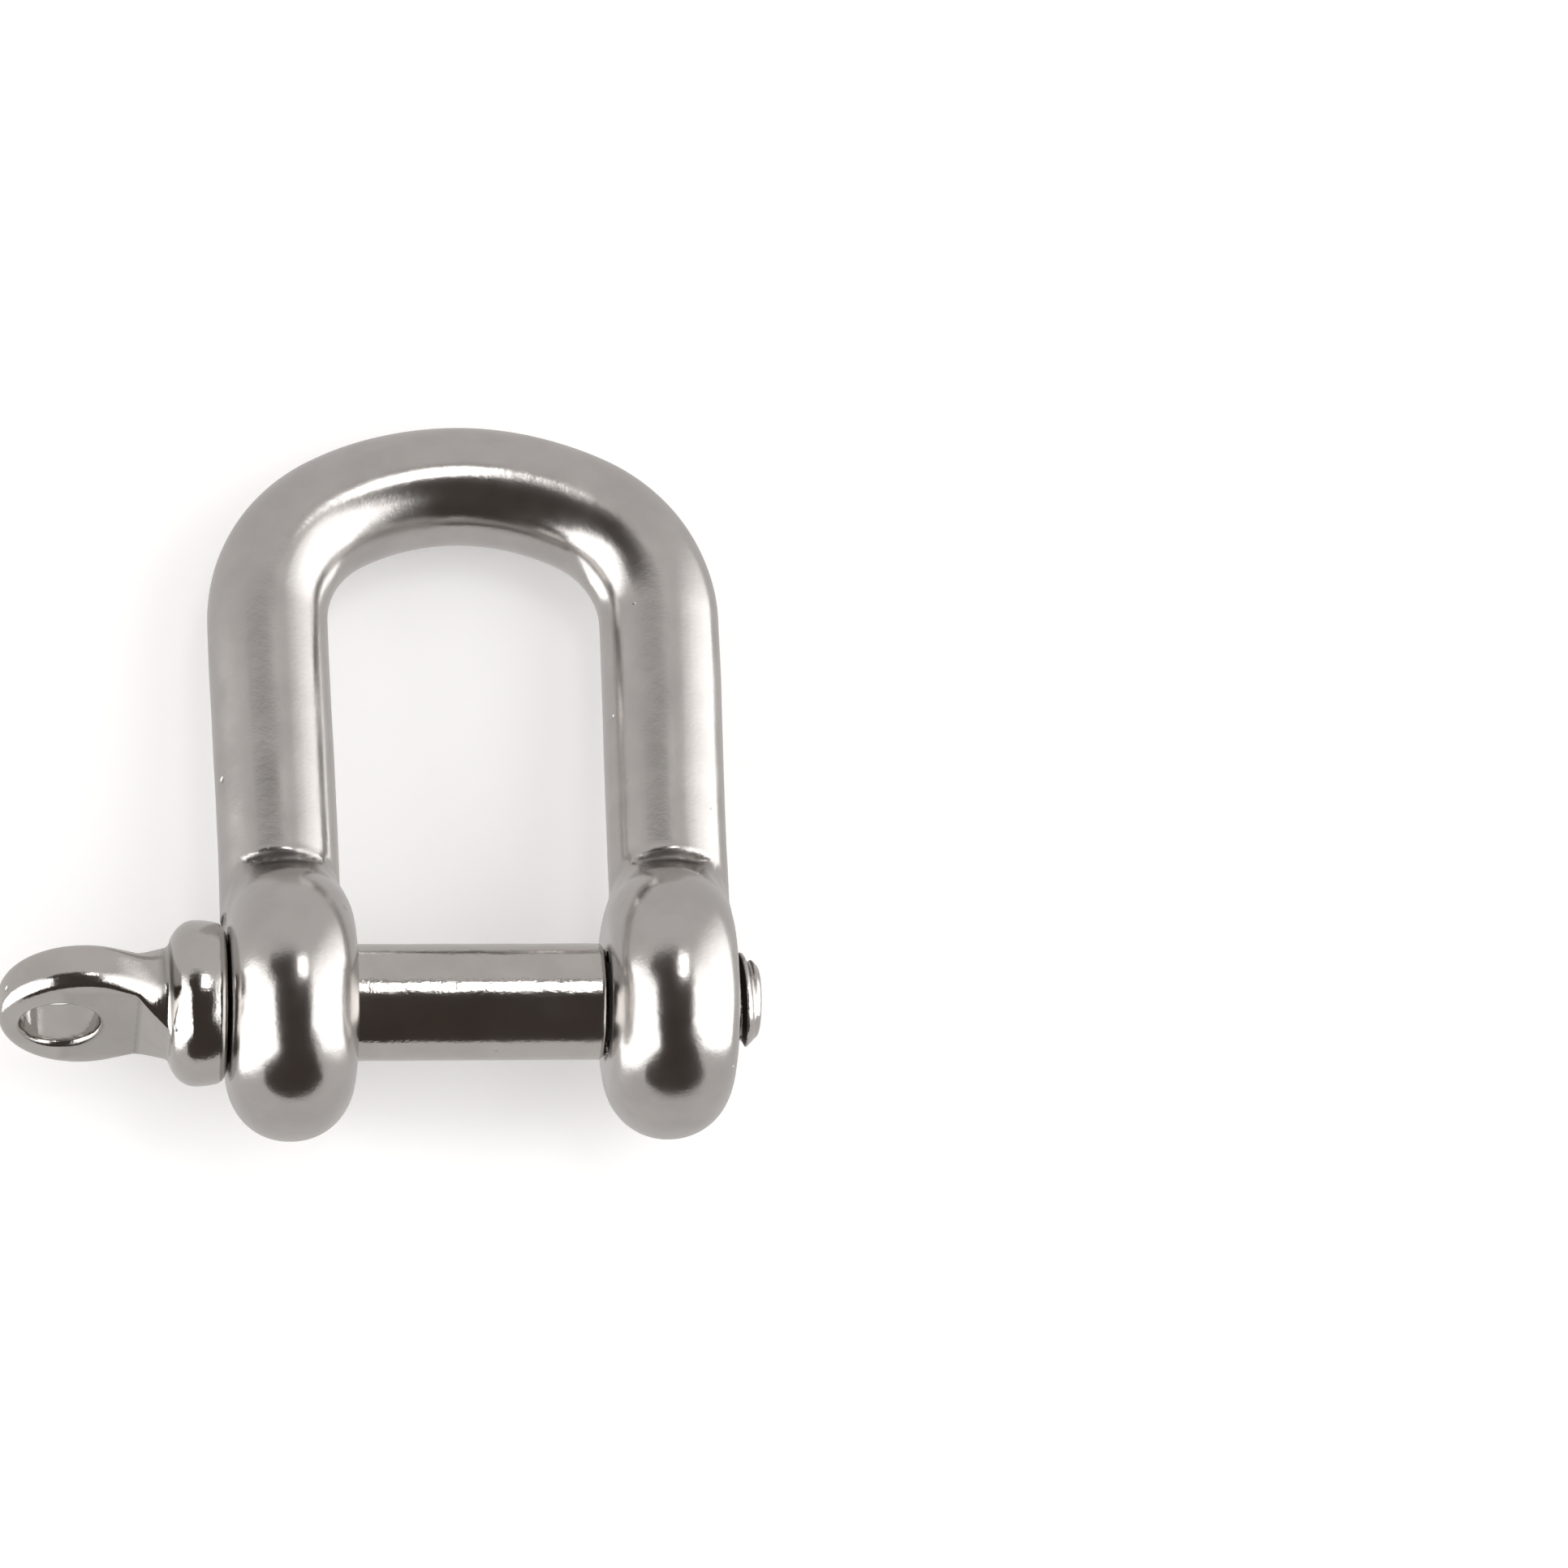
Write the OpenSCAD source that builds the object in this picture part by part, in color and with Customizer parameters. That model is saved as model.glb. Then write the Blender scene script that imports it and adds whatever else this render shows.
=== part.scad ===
// Screw-pin D shackle: a one-piece cast body and a one-piece screw pin with a flat eye.
// The shackle lies on its back. X runs along the pin, with the pin's head at -X. Y points to the
// crown of the bow, and Z points up. The origin is on the pin's axis, midway between the two ears.
// Millimetres. The modules build it standing, with the crown at +z, and laid_flat() lays it down.

/* [Body] */
// Clear gap between the two ears
jaw = 13; // [12.4:0.1:14]
// Pin axis to the inside of the crown
inside_length = 26.2; // [24:0.1:30]
// Distance between the centre lines of the two legs
leg_spacing = 20.2; // [20:0.2:20.4]
// Diameter of the round bar
bar_d = 6.15; // [5.8:0.05:6.4]
// Centre-line radius of the crown's two shoulders, where it bends tightest
shoulder_radius = 7.1; // [6.6:0.1:7.4]

/* [Ears] */
// Outer diameter of each ear
ear_d = 14.2; // [13.4:0.1:15]
// Thickness of each ear along the pin
ear_width = 6.5; // [6.3:0.1:7]
// Rounding of each ear's two rims
ear_edge = 3.1; // [2.6:0.05:3.1]
// Height above the pin axis where the bar steps in, front and back
step_start = 7.2; // [7:0.1:9]
// How far the bar steps in, on its front and on its back
step_in = 0.8; // [0.3:0.05:0.9]

/* [Screw pin] */
// Diameter of the plain shank
pin_d = 6; // [5.6:0.1:6.2]
// Diameter over the thread
thread_d = 5; // [4.6:0.1:5.2]
// Thread end standing out of the tapped ear
thread_end = 1.4; // [0.6:0.05:3]
// Radial clearance round the shank and the thread
running_gap = 0.08; // [0.04:0.01:0.1]
// Diameter of the collar that seats on the plain-bored ear
collar_d = 8.5; // [8:0.1:9]
// Thickness of the collar
collar_width = 2.95; // [2.6:0.05:3.4]

/* [Eye of the pin] */
// Diameter of the neck between the collar and the flat eye
neck_d = 5.7; // [5.2:0.1:5.9]
// Diameter of the flat eye
eye_d = 8.4; // [8:0.1:9]
// Thickness of the flat eye
eye_thickness = 2.6; // [2.2:0.1:3]
// Diameter of the eye's hole
eye_hole_d = 4; // [3:0.1:4.2]
// Distance from the collar to the eye's centre
eye_reach = 4.45; // [4.2:0.05:5]
// Distance of the hole's centre beyond the eye's centre
hole_offset = 1.15; // [0:0.05:1.2]
// Turn of the eye about the pin when the pin is tight, in degrees
eye_turn = 82; // [0:1:180]

/* [Hidden] */
$fn = 96;

half_spacing = leg_spacing / 2;
// The crown is a three-centred arch. The centres of its shoulder and its top arc are the ends
// of the long side of an 8-15-17 triangle, so both arcs meet square at a round value.
arch_unit = (half_spacing - shoulder_radius) / 8;
crown_radius = shoulder_radius + 17 * arch_unit;
crown_rise = crown_radius - 15 * arch_unit;
shoulder_angle = atan2(15, 8);
// Height of the straight legs, from the pin axis to the start of the crown
leg_height = inside_length + bar_d / 2 - crown_rise;

ear_centre = (jaw + ear_width) / 2;
ear_outer = jaw / 2 + ear_width;
// The legs run down to this height, inside the ears
leg_foot = 2;
// Half the height over which the bar steps in
step_height = 0.5;
// Spot face on the plain-bored ear, where the collar seats
spot_face_d = collar_d + 0.6;
spot_face_depth = 2;

seat_gap = 0.02;
collar_edge_outer = 1.3;
collar_edge_inner = 0.45;
collar_start = -ear_outer - seat_gap;
collar_end = collar_start - collar_width;
eye_centre = collar_end - eye_reach;
eye_edge = 0.9;
// The neck's flats ramp from the eye's thickness up to the full neck between these places
ramp_start = eye_centre + 0.64 * eye_d / 2;
ramp_end = collar_end + 0.5;
neck_margin = 0.1;
// The shank stops this far short of the tapped ear
shank_gap = 0.15;
shank_chamfer = 0.3;
thread_chamfer = 0.6;
// Cutting tools reach this far past the faces that they cut
cut = 1;

// Half of a turned shape: from the axis out to r, from 0 to h, with its two outer corners rounded
module turned_block(r, h, low_edge, high_edge) {
    translate([0, low_edge]) square([r, h - low_edge - high_edge]);
    square([r - low_edge, low_edge]);
    translate([0, h - high_edge]) square([r - high_edge, high_edge]);
    translate([r - low_edge, low_edge]) circle(r = low_edge);
    translate([r - high_edge, h - high_edge]) circle(r = high_edge);
}

// Bar bent to a radius about (x, z), from one angle to another above the +x direction
module bent_bar(x, z, radius, from_angle, to_angle) {
    translate([x, 0, z]) rotate([90, 0, 0])
        rotate_extrude(angle = to_angle - from_angle, start = from_angle)
            translate([radius, 0]) circle(d = bar_d);
}

// Straight leg, stepped in on its front and back just above the ear
module leg() {
    half_d = bar_d / 2;
    difference() {
        translate([half_spacing, 0, leg_foot]) cylinder(d = bar_d, h = leg_height - leg_foot);
        for (side = [0, 1])
            mirror([0, side, 0])
                translate([half_spacing - bar_d, 0, 0]) rotate([90, 0, 90])
                    linear_extrude(2 * bar_d)
                        polygon([
                            [half_d + step_in, step_start + step_height],
                            [half_d - step_in, step_start - step_height],
                            [half_d - step_in, 0],
                            [half_d + step_in, 0]
                        ]);
    }
}

module bow() {
    for (side = [0, 1])
        mirror([side, 0, 0]) {
            leg();
            bent_bar(half_spacing - shoulder_radius, leg_height, shoulder_radius, 0, shoulder_angle);
        }
    bent_bar(0, leg_height + crown_rise - crown_radius, crown_radius,
        shoulder_angle, 180 - shoulder_angle);
}

module ear() {
    translate([-ear_width / 2, 0, 0]) rotate([0, 90, 0])
        rotate_extrude() turned_block(ear_d / 2, ear_width, ear_edge, ear_edge);
}

// Round hole along the pin's axis, between two places on it
module pin_hole(radius, from_x, to_x) {
    translate([from_x, 0, 0]) rotate([0, 90, 0]) cylinder(r = radius, h = to_x - from_x);
}

module laid_flat() {
    rotate([-90, 0, 0]) children();
}

module shackle_body() {
    color("silver")
        laid_flat()
            difference() {
                union() {
                    bow();
                    for (side = [-1, 1])
                        translate([side * ear_centre, 0, 0]) ear();
                }
                pin_hole(pin_d / 2 + running_gap, -ear_outer - cut, 0);
                pin_hole(thread_d / 2 + running_gap, 0, ear_outer + cut);
                pin_hole(spot_face_d / 2, -ear_outer - spot_face_depth, -ear_outer);
            }
}

// Everything on the pin that is turned: thread, shank, collar and neck
module turned_pin() {
    thread_tip = ear_outer + thread_end;
    shank_end = jaw / 2 - shank_gap;
    pin_r = pin_d / 2;
    thread_r = thread_d / 2;
    rotate([0, 90, 0])
        rotate_extrude() {
            polygon([
                [0, collar_start - collar_edge_inner],
                [pin_r, collar_start - collar_edge_inner],
                [pin_r, shank_end - shank_chamfer],
                [pin_r - shank_chamfer, shank_end],
                [thread_r, shank_end],
                [thread_r, thread_tip - thread_chamfer],
                [thread_r - thread_chamfer, thread_tip],
                [0, thread_tip]
            ]);
            translate([0, collar_end])
                turned_block(collar_d / 2, collar_width, collar_edge_outer, collar_edge_inner);
        }
}

// Round neck whose two flats grow out of the eye's faces
module neck() {
    half_t = eye_thickness / 2;
    full = neck_d / 2 + neck_margin;
    intersection() {
        translate([eye_centre, 0, 0]) rotate([0, 90, 0])
            cylinder(d = neck_d, h = collar_end + cut - eye_centre);
        translate([0, 0, -neck_d])
            linear_extrude(2 * neck_d)
                polygon([
                    [eye_centre - cut, -half_t],
                    [ramp_start, -half_t],
                    [ramp_end, -full],
                    [collar_end + 2 * cut, -full],
                    [collar_end + 2 * cut, full],
                    [ramp_end, full],
                    [ramp_start, half_t],
                    [eye_centre - cut, half_t]
                ]);
    }
}

module flat_eye() {
    translate([eye_centre, eye_thickness / 2, 0]) rotate([90, 0, 0])
        rotate_extrude() turned_block(eye_d / 2, eye_thickness, eye_edge, eye_edge);
}

module eye_hole() {
    translate([eye_centre - hole_offset, eye_thickness, 0]) rotate([90, 0, 0])
        cylinder(d = eye_hole_d, h = 2 * eye_thickness);
}

module screw_pin() {
    color("gainsboro")
        laid_flat() {
            turned_pin();
            rotate([eye_turn, 0, 0])
                difference() {
                    union() {
                        neck();
                        flat_eye();
                    }
                    eye_hole();
                }
        }
}

shackle_body();
screw_pin();
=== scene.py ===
"""Screw-pin dee shackle: a cast round-bar body, closed by a turned pin with a collar and a flat eye.

The shackle lies on its back. X runs along the pin from its head to its thread, Y points to the crown of
the bow and Z points up. Shapes are worked out in millimetres as signed distances, negative inside the
metal, and the finished meshes are in metres.
"""

import logging
import math
from abc import ABC, abstractmethod
from dataclasses import dataclass
from enum import Enum
from typing import Callable, ClassVar, Self

import bpy
import numpy as np
from mathutils import Matrix, Vector

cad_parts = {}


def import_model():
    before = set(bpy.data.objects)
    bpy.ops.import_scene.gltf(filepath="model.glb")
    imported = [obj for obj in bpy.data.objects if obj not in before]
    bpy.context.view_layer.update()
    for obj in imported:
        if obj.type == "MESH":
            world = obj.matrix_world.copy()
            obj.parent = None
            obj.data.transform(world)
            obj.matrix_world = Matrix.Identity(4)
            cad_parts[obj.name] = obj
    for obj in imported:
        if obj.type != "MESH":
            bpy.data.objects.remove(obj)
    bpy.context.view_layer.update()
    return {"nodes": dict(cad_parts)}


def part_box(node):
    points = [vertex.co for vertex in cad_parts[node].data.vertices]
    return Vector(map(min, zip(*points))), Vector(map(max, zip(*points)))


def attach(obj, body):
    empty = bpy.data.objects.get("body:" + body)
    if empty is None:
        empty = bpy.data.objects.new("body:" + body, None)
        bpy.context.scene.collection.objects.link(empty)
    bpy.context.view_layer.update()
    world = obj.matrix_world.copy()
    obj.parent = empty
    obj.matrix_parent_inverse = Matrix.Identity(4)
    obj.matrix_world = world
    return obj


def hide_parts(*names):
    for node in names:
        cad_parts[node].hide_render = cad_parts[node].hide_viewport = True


logging.basicConfig(level=logging.INFO, format="%(message)s")
LOG = logging.getLogger("shackle")

MM = 0.001
# Mesh attribute that says how deep in a crease each vertex lies, and how far out it looks, in millimetres
# The finishes paint shade into the creases by this attribute
CREASE = "crease"
CREASE_REACH = 0.8
# Keeps a division from meeting a zero
TINY = 1e-6

Distance = Callable[[np.ndarray], np.ndarray]
Colour = tuple[float, float, float]
Span = tuple[float, float]


class Body(str, Enum):
    """The two moving bodies of the shackle."""

    BOW = "bow"
    PIN = "pin"


class Slot(str, Enum):
    """The material slots of the library record."""

    CAST = "cast_stainless"
    TURNED = "turned_stainless"


# Signed-distance shapes


def smooth_union(a: np.ndarray, b: np.ndarray, blend: np.ndarray | float) -> np.ndarray:
    """Joins two shapes with a fillet.

    Args:
        a: Distances to the first shape, in millimetres.
        b: Distances to the second shape, in millimetres.
        blend: Width of the fillet, in millimetres.

    Returns:
        Distances to the joined shape.
    """
    share = np.clip(0.5 + 0.5 * (b - a) / blend, 0.0, 1.0)
    return b + (a - b) * share - blend * share * (1.0 - share)


def smooth_intersection(a: np.ndarray, b: np.ndarray, blend: float) -> np.ndarray:
    """Keeps what two shapes share, with a rounded edge.

    Args:
        a: Distances to the first shape, in millimetres.
        b: Distances to the second shape, in millimetres.
        blend: Width of the rounded edge, in millimetres.

    Returns:
        Distances to the shared shape.
    """
    return -smooth_union(-a, -b, blend)


def smooth_cut(a: np.ndarray, tool: np.ndarray, blend: float) -> np.ndarray:
    """Takes a tool's shape out of a shape, with a rounded edge.

    Args:
        a: Distances to the shape, in millimetres.
        tool: Distances to the tool, in millimetres.
        blend: Width of the rounded edge, in millimetres.

    Returns:
        Distances to what is left.
    """
    return -smooth_union(-a, tool, blend)


def ease(share: np.ndarray) -> np.ndarray:
    """Turns a straight ramp into one that starts and ends level.

    Args:
        share: How far along the ramp, from 0 to 1.

    Returns:
        The eased ramp, from 0 to 1.
    """
    return share * share * (3.0 - 2.0 * share)


def rounded_block(
    along: np.ndarray, out: np.ndarray, half: float, radius: float, edge: np.ndarray | float
) -> np.ndarray:
    """Round block with rounded rims.

    Args:
        along: Distance along the axis from the block's middle, in millimetres.
        out: Distance from the axis, in millimetres.
        half: Half of the block's length.
        radius: The block's radius.
        edge: Rounding of the rims.

    Returns:
        Distances to the block.
    """
    q_along = np.abs(along) - half + edge
    q_out = out - radius + edge
    beyond = np.hypot(np.maximum(q_along, 0.0), np.maximum(q_out, 0.0))
    return np.minimum(np.maximum(q_along, q_out), 0.0) + beyond - edge


@dataclass(frozen=True)
class Ripple:
    """Waves that run one way over a piece of metal.

    Args:
        rate: How many of these waves fit in one of the longest waves.
        heading: Direction that they run in.
        start: Where they start, in radians.
    """

    rate: float
    heading: tuple[float, float, float]
    start: float

    def height(self, p: np.ndarray, wave: float) -> np.ndarray:
        """Height of the waves, from -1 to 1.

        Args:
            p: Points, in millimetres.
            wave: Length of the longest waves, in millimetres.

        Returns:
            The height at each point.
        """
        return np.sin(2.0 * math.pi / wave * self.rate * (p @ np.array(self.heading)) + self.start)


@dataclass(frozen=True)
class Waviness:
    """Gentle waviness that tumbling and polishing leave on a metal surface.

    Args:
        depth: Height of the waves, in millimetres.
        wave: Length of the longest waves, in millimetres.
        crossed: The longest waves, which cross each other.
        finer: Finer waves on top, each with its share of the height.
    """

    depth: float
    wave: float
    crossed: tuple[Ripple, ...] = (
        Ripple(1.0, (0.83, 0.41, 0.0), 1.3),
        Ripple(1.0, (0.0, 0.37, -0.91), 0.4),
    )
    finer: tuple[tuple[float, Ripple], ...] = (
        (0.6, Ripple(1.7, (0.52, -0.74, 0.33), 2.1)),
        (0.4, Ripple(2.9, (0.31, 0.58, 0.69), 0.2)),
    )

    def height(self, p: np.ndarray) -> np.ndarray:
        """Height of the surface.

        Args:
            p: Points, in millimetres.

        Returns:
            The height at each point, in millimetres.
        """
        total = np.prod([ripple.height(p, self.wave) for ripple in self.crossed], axis=0)
        most = 1.0
        for share, ripple in self.finer:
            total += share * ripple.height(p, self.wave)
            most += share
        return self.depth * total / most


@dataclass(frozen=True)
class Thread:
    """Right-handed V thread along X.

    Args:
        crest: Radius at the thread's crests, in millimetres.
        root: Radius at the thread's roots, in millimetres.
        pitch: Advance in one turn, in millimetres.
        flat: Share of the flanks' rise that is lost to the flats at the crests, and at the roots.
    """

    crest: float
    root: float
    pitch: float = 0.8
    flat: float = 0.15

    def surface_radius(self, p: np.ndarray) -> np.ndarray:
        """Radius of the thread's surface.

        Args:
            p: Points, in millimetres.

        Returns:
            The thread's radius beside each point.
        """
        turn = np.arctan2(p[:, 1], p[:, 2]) / (2.0 * math.pi)
        phase = np.mod(p[:, 0] / self.pitch + turn, 1.0)
        ramp = np.clip(np.abs(2.0 * phase - 1.0) * (1.0 + 2.0 * self.flat) - self.flat, 0.0, 1.0)
        return self.root + (self.crest - self.root) * (ease(ramp) + ramp) / 2.0


# From distances to meshes

# The eight corners of a cell, and the pairs of them that its twelve edges join
CORNERS = np.array([[i, j, k] for i in (0, 1) for j in (0, 1) for k in (0, 1)])
EDGES = [(a, b) for a in range(8) for b in range(a + 1, 8) if abs(CORNERS[a] - CORNERS[b]).sum() == 1]


@dataclass
class Mesher:
    """Turns a signed distance into a closed quad mesh, one vertex in each cell that the surface crosses.

    Args:
        cell: Size of a cell, in millimetres.
        margin: How far beyond the CAD part's room the surface may lie, in millimetres.
        slab: How many layers of cells are worked out at once.
        probe: How far out the distance is felt for its slope, in millimetres.
        pulls: How many times each vertex is pulled onto the surface.
        longest_pull: The longest pull, in cells.
        least_slope: The least slope, squared, that a pull reckons with.
    """

    cell: float
    margin: float = 0.7
    slab: int = 12
    probe: float = 0.01
    pulls: int = 3
    longest_pull: float = 0.6
    least_slope: float = 0.05

    def sample(self, shape: Distance, axes: list[np.ndarray]) -> np.ndarray:
        """Distances on a regular grid.

        Args:
            shape: The signed distance.
            axes: The grid's coordinates along X, Y and Z, in millimetres.

        Returns:
            One distance for each grid point.
        """
        value = np.empty([len(a) for a in axes], np.float32)
        for start in range(0, len(axes[0]), self.slab):
            grid = np.meshgrid(axes[0][start : start + self.slab], axes[1], axes[2], indexing="ij")
            points = np.stack([g.ravel() for g in grid], axis=1)
            value[start : start + self.slab] = shape(points).reshape(grid[0].shape)
        return value

    def slope(self, shape: Distance, points: np.ndarray) -> np.ndarray:
        """Gradient of a signed distance.

        Args:
            shape: The signed distance.
            points: Where to work it out, in millimetres.

        Returns:
            One gradient for each point.
        """
        out = np.empty_like(points)
        for axis in range(3):
            shift = np.zeros(3)
            shift[axis] = self.probe
            out[:, axis] = (shape(points + shift) - shape(points - shift)) / (2.0 * self.probe)
        return out

    def build(self, shape: Distance, low: np.ndarray, high: np.ndarray) -> tuple[np.ndarray, np.ndarray]:
        """Meshes the surface where a signed distance is zero.

        Args:
            shape: The signed distance.
            low: Lowest corner of the room to search, in millimetres.
            high: Highest corner of that room.

        Returns:
            The vertices in millimetres, and the quads that join them.
        """
        axes = [np.arange(lo - self.margin, hi + self.margin, self.cell) for lo, hi in zip(low, high)]
        value = self.sample(shape, axes)
        inside = value < 0.0
        size = np.array(inside.shape) - 1
        count = np.zeros(size, np.int8)
        for i, j, k in CORNERS:
            count += inside[i : i + size[0], j : j + size[1], k : k + size[2]]
        cells = np.argwhere((count > 0) & (count < len(CORNERS)))
        number = np.full(size, -1, np.int32)
        number[tuple(cells.T)] = np.arange(len(cells))
        origin = np.array([a[0] for a in axes])
        points = origin + (cells + self.crossing(value, cells)) * self.cell
        most = self.longest_pull * self.cell
        for _ in range(self.pulls):
            slope = self.slope(shape, points)
            steepness = np.maximum((slope**2).sum(axis=1, keepdims=True), self.least_slope)
            points -= np.clip(shape(points)[:, None] * slope / steepness, -most, most)
        return points, self.quads(inside, number)

    @staticmethod
    def crossing(value: np.ndarray, cells: np.ndarray) -> np.ndarray:
        """Middle of the places where the surface crosses each cell's edges.

        Args:
            value: Distances on the grid.
            cells: The cells that the surface crosses.

        Returns:
            One place in each cell, from 0 to 1 along its sides.
        """
        corner = np.stack([value[tuple((cells + c).T)] for c in CORNERS], axis=1)
        total, found = np.zeros((len(cells), 3)), np.zeros((len(cells), 1))
        for a, b in EDGES:
            crossed = (corner[:, a] < 0.0) != (corner[:, b] < 0.0)
            span = np.where(crossed, corner[:, a] - corner[:, b], 1.0)
            share = np.where(crossed, corner[:, a] / span, 0.0)[:, None]
            total += crossed[:, None] * (CORNERS[a] + share * (CORNERS[b] - CORNERS[a]))
            found += crossed[:, None]
        return total / found

    @staticmethod
    def quads(inside: np.ndarray, number: np.ndarray) -> np.ndarray:
        """Joins the cells' vertices round each grid edge that the surface crosses.

        Args:
            inside: Which grid points are in the metal.
            number: The vertex number of each cell.

        Returns:
            The quads, with their normals outwards.
        """
        made = []
        for axis in range(3):
            first, second = (axis + 1) % 3, (axis + 2) % 3
            here = np.take(inside, range(inside.shape[axis] - 1), axis)
            there = np.take(inside, range(1, inside.shape[axis]), axis)
            at = np.argwhere(here != there)
            step_a, step_b = np.eye(3, dtype=int)[first], np.eye(3, dtype=int)[second]
            ring = [at - step_a - step_b, at - step_b, at, at - step_a]
            quad = np.stack([number[tuple(r.T)] for r in ring], axis=1)
            leaves = here[tuple(at.T)]
            made.append(np.where(leaves[:, None], quad, quad[:, ::-1]))
        return np.concatenate(made)


# Finishes


class Layers(float, Enum):
    """How many finer layers a noise has."""

    PLAIN = 1.0
    FINE = 3.0
    FINEST = 4.0


class Sum(str, Enum):
    """What the material's sums do."""

    SCALE_AND_ADD = "MULTIPLY_ADD"
    TAKE_LARGER = "MAXIMUM"


class Wiring:
    """Adds nodes to a material and wires them up."""

    def __init__(self, material: bpy.types.Material) -> None:
        """Starts from the material's own shader.

        Args:
            material: The material that gets the nodes.
        """
        material.use_nodes = True
        self.nodes, self.links = material.node_tree.nodes, material.node_tree.links
        self.shader = self.nodes["Principled BSDF"]
        self.place = self.nodes.new("ShaderNodeTexCoord").outputs["Object"]

    def dress(self, socket: str, source: bpy.types.NodeSocket) -> None:
        """Wires a source into one of the shader's sockets.

        Args:
            socket: The shader's socket.
            source: What goes into it.
        """
        self.links.new(source, self.shader.inputs[socket])

    def noise(self, scale: float, layers: Layers) -> bpy.types.NodeSocket:
        """Cloudy noise.

        Args:
            scale: How fine it is, in clouds per metre.
            layers: How many finer layers it has.

        Returns:
            The noise, from 0 to 1.
        """
        node = self.nodes.new("ShaderNodeTexNoise")
        node.inputs["Scale"].default_value = scale
        node.inputs["Detail"].default_value = layers.value
        self.links.new(self.place, node.inputs["Vector"])
        return node.outputs["Fac"]

    def mapped(
        self, source: bpy.types.NodeSocket, span: Span, to: Span = (0.0, 1.0)
    ) -> bpy.types.NodeSocket:
        """Stretches a span of a source's values over another span, and holds it there.

        Args:
            source: The values.
            span: The span that they have.
            to: The span that they get.

        Returns:
            The stretched values.
        """
        node = self.nodes.new("ShaderNodeMapRange")
        for socket, value in zip(("From Min", "From Max", "To Min", "To Max"), (*span, *to)):
            node.inputs[socket].default_value = value
        self.links.new(source, node.inputs["Value"])
        return node.outputs["Result"]

    def reckon(self, operation: Sum, *values: bpy.types.NodeSocket | float) -> bpy.types.NodeSocket:
        """Does a sum.

        Args:
            operation: What the sum does.
            values: What it works on, in its own order.

        Returns:
            The result.
        """
        node = self.nodes.new("ShaderNodeMath")
        node.operation = operation.value
        for socket, value in zip(node.inputs, values):
            if isinstance(value, bpy.types.NodeSocket):
                self.links.new(value, socket)
            else:
                socket.default_value = value
        return node.outputs[0]

    def pits(self, scale: float) -> bpy.types.NodeSocket:
        """Distance to the nearest of many scattered points.

        Args:
            scale: How many points there are in a metre.

        Returns:
            The distance, in multiples of the points' spacing.
        """
        node = self.nodes.new("ShaderNodeTexVoronoi")
        node.inputs["Scale"].default_value = scale
        self.links.new(self.place, node.inputs["Vector"])
        return node.outputs["Distance"]

    def rings(self, scale: float, wobble: float) -> bpy.types.NodeSocket:
        """Rings round the X axis.

        Args:
            scale: How fine they are.
            wobble: How uneven they are.

        Returns:
            The rings' height, from 0 to 1.
        """
        node = self.nodes.new("ShaderNodeTexWave")
        node.bands_direction = "X"
        node.inputs["Scale"].default_value = scale
        node.inputs["Distortion"].default_value = wobble
        self.links.new(self.place, node.inputs["Vector"])
        return node.outputs["Fac"]

    def attribute(self, name: str) -> bpy.types.NodeSocket:
        """Reads a mesh attribute.

        Args:
            name: The attribute's name.

        Returns:
            Its values.
        """
        node = self.nodes.new("ShaderNodeAttribute")
        node.attribute_name = name
        return node.outputs["Fac"]

    def blend(
        self, share: bpy.types.NodeSocket, low: bpy.types.NodeSocket | Colour, high: Colour
    ) -> bpy.types.NodeSocket:
        """Blends two colours.

        Args:
            share: Share of the second colour.
            low: The first colour.
            high: The second colour.

        Returns:
            The blended colour.
        """
        node = self.nodes.new("ShaderNodeMix")
        node.data_type = "RGBA"
        factor, first, second, mixed = node.inputs[0], node.inputs[6], node.inputs[7], node.outputs[2]
        self.links.new(share, factor)
        if isinstance(low, tuple):
            first.default_value = (*low, 1.0)
        else:
            self.links.new(low, first)
        second.default_value = (*high, 1.0)
        return mixed

    def bump(
        self, height: bpy.types.NodeSocket, depth: float, under: bpy.types.NodeSocket | None = None
    ) -> bpy.types.NodeSocket:
        """Bumps the surface.

        Args:
            height: Height of the bumps, from 0 to 1.
            depth: Height of the tallest, in metres.
            under: Bumps that they lie on.

        Returns:
            The surface's normal.
        """
        node = self.nodes.new("ShaderNodeBump")
        node.inputs["Distance"].default_value = depth
        self.links.new(height, node.inputs["Height"])
        if under is not None:
            self.links.new(under, node.inputs["Normal"])
        return node.outputs["Normal"]


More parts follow.
